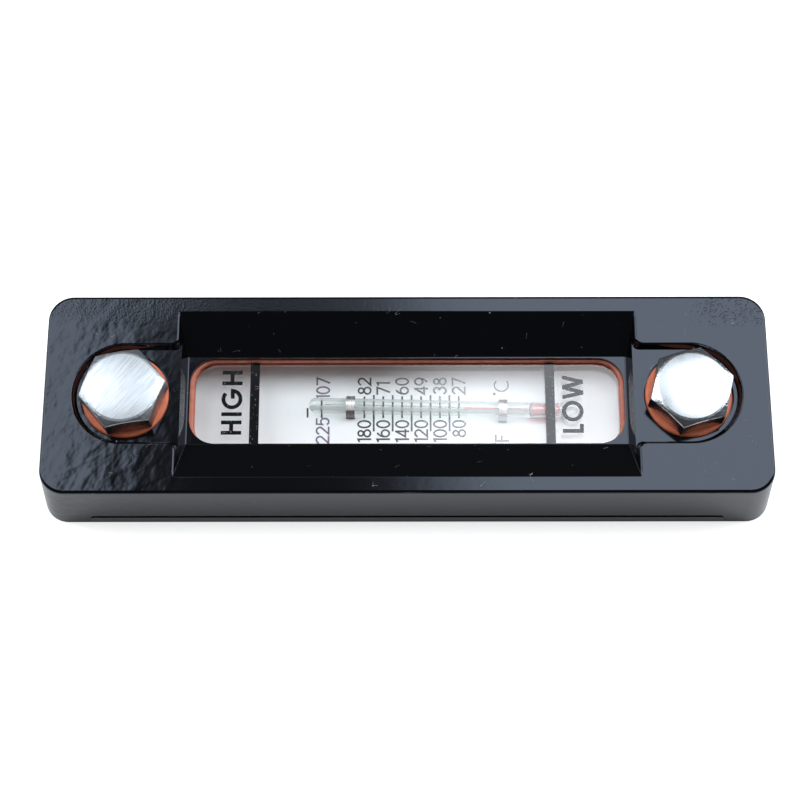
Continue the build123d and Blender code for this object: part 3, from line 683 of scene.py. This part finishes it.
class GAUGE_OT_studio(bpy.types.Operator):
    """Pale floor, two large soft boxes with weak ones between and beside them, and the camera"""

    bl_idname = "gauge.studio"
    bl_label = "Studio and camera"

    def execute(self, context):
        s = context.scene.gauge_studio
        self.floor(s)
        self.sky()
        # each soft box: bearing from overhead towards +X and towards +Y in degrees, width and depth in
        # metres, and share of the lamp radiance; only edges and the heads' crowns mirror the side boxes
        for name, across, back, size, share in (
            ("soft_box_right", 32.8, 20.5, (1.41, 0.62), 0.9),
            ("soft_box_left", -34.6, 20.5, (0.94, 0.66), 0.8),
            ("soft_box_back", -4.5, 27.5, (0.26, 0.30), 0.16),
            ("side_box_right", 69.0, 44.0, (0.62, 0.55), 0.42),
            ("side_box_left", -69.0, 44.0, (0.62, 0.55), 0.42),
        ):
            self.soft_box(name, across, back, size, s.lamp * share)
        self.camera(s)
        context.scene.view_settings.view_transform = "Standard"
        return {"FINISHED"}

    @staticmethod
    def floor(s):
        """A square board just under the plane of the tank's face."""
        half = s.floor_size / 2
        level = -0.02 * MM
        corners = [(x, y, level) for x, y in ((-half, -half), (half, -half), (half, half), (-half, half))]
        mesh = bpy.data.meshes.new("floor")
        mesh.from_pydata(corners, [], [(0, 1, 2, 3)])
        mesh.materials.append(matt_white_board())
        board = bpy.data.objects.new("floor", mesh)
        bpy.context.scene.collection.objects.link(board)

    @staticmethod
    def sky():
        """White to the eye and through glass, and almost no light on the gauge."""
        world = bpy.data.worlds.new("studio")
        bpy.context.scene.world = world
        add = start_nodes(world)
        path = add("LightPath").outputs
        seen = add("Math", (path["Is Camera Ray"], path["Is Transmission Ray"]), operation="MAXIMUM")
        strength = add("MapRange", {"Value": seen, "To Min": 0.06, "To Max": 1.0})
        white = add("Background", {"Color": linear("#FFFFFF"), "Strength": strength})
        add("OutputWorld", {"Surface": white})

    @staticmethod
    def soft_box(name, across, back, size, radiance):
        """A rectangular lamp LAMP_REACH from the gauge, tilted from overhead by across to the side and by
        back away from the camera. Its power is pi times its radiance times its area."""
        lamp = bpy.data.lights.new(name, "AREA")
        lamp.shape = "RECTANGLE"
        lamp.size, lamp.size_y = size
        lamp.energy = math.pi * radiance * size[0] * size[1]
        # the cloth is even in the middle and fades out over its last tenth on every side
        add = start_nodes(lamp)
        cloth = add("SeparateXYZ", (add("NewGeometry").outputs["Parametric"],)).outputs
        fade = 1.0
        for place in cloth[:2]:
            off_middle = add("Math", (place, 0.5), operation="SUBTRACT")
            off_middle = add("Math", (off_middle,), operation="ABSOLUTE")
            side = add("MapRange", (off_middle, 0.40, 0.50, 1.0, 0.0), **SMOOTH)
            fade = add("Math", (side, fade), operation="MULTIPLY")
        light = add("Emission", {"Color": (0.90, 0.95, 1.0, 1.0), "Strength": fade})
        add("OutputLight", {"Surface": light})
        thing = bpy.data.objects.new(name, lamp)
        away = Vector((math.tan(math.radians(across)), math.tan(math.radians(back)), 1.0)).normalized()
        side = Vector((away.z, 0.0, -away.x)).normalized()
        turn = Matrix((side, away.cross(side), away)).transposed().to_4x4()
        thing.matrix_world = Matrix.Translation(away * LAMP_REACH) @ turn
        thing.visible_camera = False
        bpy.context.scene.collection.objects.link(thing)

    @staticmethod
    def camera(s):
        """Over the near side, looking down on the gauge's front at 71 degrees, a touch askew. The view's axes
        are the level right and up directions turned by the roll about the line of sight."""
        eye_place = (-0.000889, -0.136053, 0.412793)
        elevation, yaw, roll = math.radians(71.142), math.radians(-0.288), math.radians(-0.345)
        level = math.cos(elevation)
        ahead = Vector((math.sin(yaw) * level, math.cos(yaw) * level, -math.sin(elevation)))
        right = Vector((math.cos(yaw), -math.sin(yaw), 0.0))
        up = right.cross(ahead)
        across = right * math.cos(roll) + up * math.sin(roll)
        upward = -right * math.sin(roll) + up * math.cos(roll)
        eye = bpy.data.objects.new("camera", bpy.data.cameras.new("camera"))
        bpy.context.scene.collection.objects.link(eye)
        turn = Matrix((across, upward, -ahead)).transposed().to_4x4()
        eye.matrix_world = Matrix.Translation(eye_place) @ turn
        eye.data.sensor_width = 36.0
        eye.data.lens = s.lens
        eye.data.clip_start = 0.01
        bpy.context.scene.camera = eye


class GAUGE_OT_housing(bpy.types.Operator):
    """Gloss black enamel on the cast guard housing"""

    bl_idname = "gauge.housing"
    bl_label = "Housing enamel"

    def execute(self, context):
        dress("guard_housing", gloss_enamel())
        return {"FINISHED"}


class GAUGE_OT_window(bpy.types.Operator):
    """Clear pane, silicone gasket and white tray"""

    bl_idname = "gauge.window"
    bl_label = "Window"

    def execute(self, context):
        dress("sight_glass", clear_acrylic())
        dress("window_gasket", red_silicone("red_silicone_gasket", "#C4684E", "#EE9A82"))
        dress("scale_tray", white_moulding())
        return {"FINISHED"}


class GAUGE_OT_print(bpy.types.Operator):
    """Level bars and words on the pane, degree lines, numerals and unit signs on the tray"""

    bl_idname = "gauge.print"
    bl_label = "Print"

    def execute(self, context):
        s = context.scene.gauge_print
        ink = printing_ink("screen_ink", "#0D0D10")
        dress("level_marks", ink)
        dress("scale_ticks", ink)
        words = Print(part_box("level_marks")[0][2])
        # sign, foot, start of the sign along the reading direction, end of it, top (mm)
        for sign, foot, start, end, top in (
            ("H", -37.65, -7.37, -4.0, -42.3), ("I", -37.65, -2.87, -2.07, -42.3),
            ("G", -37.65, -1.28, 3.63, -42.3), ("H", -37.65, 4.54, 8.03, -42.3),
            ("L", 40.2, -7.02, -4.9, 35.4), ("O", 40.2, -4.3, 0.65, 35.4), ("W", 40.35, 1.05, 6.8, 35.55),
        ):
            words.sign(sign, foot * MM, start * MM, (end - start) * MM, (foot - top) * MM, s.word_stroke)
        words.piece("level_words", ink)

        scale = Print(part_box("scale_ticks")[0][2])
        centre = 1.3 * MM
        faded = Print(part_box("scale_ticks")[0][2])
        lowest_line, line_spacing = 12.05 * MM, 0.219 * MM  # the 80 degree line, and a degree's length
        # each line's degrees on both scales, how far its numbers start from the scale's centre line and how
        # far they are moved towards the LOW end (mm), and the sheet that they are on
        for warm, cool, near, far, moved, sheet in (
            (225, 107, 2.5, 2.05, 0.25, faded), (180, 82, 3.15, 3.05, 0.0, scale),
            (160, 71, 3.15, 3.05, 0.0, scale), (140, 60, 3.15, 3.05, 0.0, scale),
            (120, 49, 3.15, 3.05, 0.0, scale), (100, 38, 3.15, 3.05, 0.0, scale),
            (80, 27, 3.15, 3.05, 0.0, scale),
        ):
            foot = lowest_line - (warm - 80) * line_spacing + s.numeral_height / 2 + moved * MM
            sheet.number(str(warm), foot, centre - near * MM - sheet.number_width(str(warm), s), s)
            sheet.number(str(cool), foot, centre + far * MM, s)
        for sign, foot, start, end, top in (
            ("o", 20.65, 4.15, 4.85, 19.95), ("C", 23.75, 4.95, 8.35, 20.2),
            ("o", 20.65, -8.15, -7.45, 20.0), ("F", 23.55, -7.15, -5.45, 20.25),
        ):
            scale.sign(sign, foot * MM, start * MM, (end - start) * MM, (foot - top) * MM, s.numeral_stroke)
        scale.piece("scale_numerals", ink)
        faded.piece("faded_numerals", printing_ink("faded_purple_ink", "#6A5E74"))
        return {"FINISHED"}


class GAUGE_OT_thermometer(bpy.types.Operator):
    """Glass tube, dyed spirit and the two clips that hold the tube"""

    bl_idname = "gauge.thermometer"
    bl_label = "Thermometer"

    def execute(self, context):
        dress("thermometer_glass", tube_glass())
        dress("thermometer_spirit", dyed_spirit())
        # the high clip's near foot gets a painted dark reflection
        dress("thermometer_clip_high", spring_steel("clip_steel_painted_reflection", 0.9))
        dress("thermometer_clip_low", spring_steel("bright_clip_steel", 0.0))
        return {"FINISHED"}


class GAUGE_OT_bolts(bpy.types.Operator):
    """Hollow bolts with cut threads, in place of the plain ones"""

    bl_idname = "gauge.bolts"
    bl_label = "Hollow bolts"

    def execute(self, context):
        s = context.scene.gauge_bolts
        # how far each head is turned in degrees, and how strongly its top is brushed
        for name, turn, brushed in (("high", 10.0, 1.0), ("low", 16.0, 0.15)):
            node = f"bolt_{name}"
            low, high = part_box(node)
            corners, quads = bolt_surface((low[0] + high[0]) / 2, math.radians(turn), s)
            zinc = bright_zinc(f"bright_zinc_{name}", brushed)
            weld(new_piece(f"hollow_bolt_{name}", corners, quads.tolist(), zinc, (node,)), 22.0)
        return {"FINISHED"}


class GAUGE_OT_seals(bpy.types.Operator):
    """Silicone seals under the heads and at the tank"""

    bl_idname = "gauge.seals"
    bl_label = "Seals"

    def execute(self, context):
        silicone = red_silicone("red_silicone_seal", "#D66E4C", "#F08A66")
        for node in ("head_seal_high", "head_seal_low", "tank_seal_high", "tank_seal_low"):
            dress(node, silicone)
        return {"FINISHED"}


class GAUGE_OT_rear(bpy.types.Operator):
    """Back gasket, back plate and its screws"""

    bl_idname = "gauge.rear"
    bl_label = "Rear"

    def execute(self, context):
        dress("back_gasket", red_silicone("red_silicone_back", "#A8553F", "#C07A62"))
        dress("back_plate", bright_zinc("bright_zinc_plate", 0.5))
        dress("cover_screws", bright_zinc("bright_zinc_screws", 0.0))
        return {"FINISHED"}


STEPS = (
    GAUGE_OT_studio, GAUGE_OT_housing, GAUGE_OT_window, GAUGE_OT_print, GAUGE_OT_thermometer, GAUGE_OT_bolts,
    GAUGE_OT_seals, GAUGE_OT_rear,
)
SETTINGS = (
    ("gauge_paint", GaugePaintSettings), ("gauge_print", GaugePrintSettings),
    ("gauge_bolts", GaugeBoltSettings), ("gauge_studio", GaugeStudioSettings),
)


class GAUGE_PT_panel(bpy.types.Panel):
    """Lists the gauge's steps and settings"""

    bl_idname = "GAUGE_PT_panel"
    bl_label = "Tank level gauge"
    bl_space_type = "VIEW_3D"
    bl_region_type = "UI"
    bl_category = "Level gauge"

    def draw(self, context):
        for name, group in SETTINGS:
            for key in group.__annotations__:
                self.layout.prop(getattr(context.scene, name), key)
        for step in STEPS:
            self.layout.operator(step.bl_idname)


def register():
    for _, group in SETTINGS:
        bpy.utils.register_class(group)
    for name, group in SETTINGS:
        setattr(bpy.types.Scene, name, bpy.props.PointerProperty(type=group))
    for step in STEPS:
        bpy.utils.register_class(step)
    bpy.utils.register_class(GAUGE_PT_panel)


def unregister():
    bpy.utils.unregister_class(GAUGE_PT_panel)
    for step in reversed(STEPS):
        bpy.utils.unregister_class(step)
    for name, group in reversed(SETTINGS):
        delattr(bpy.types.Scene, name)
        bpy.utils.unregister_class(group)


def main():
    register()
    for step in STEPS:
        getattr(bpy.ops.gauge, step.bl_idname.split(".")[1])()


if __name__ == "__main__":
    main()
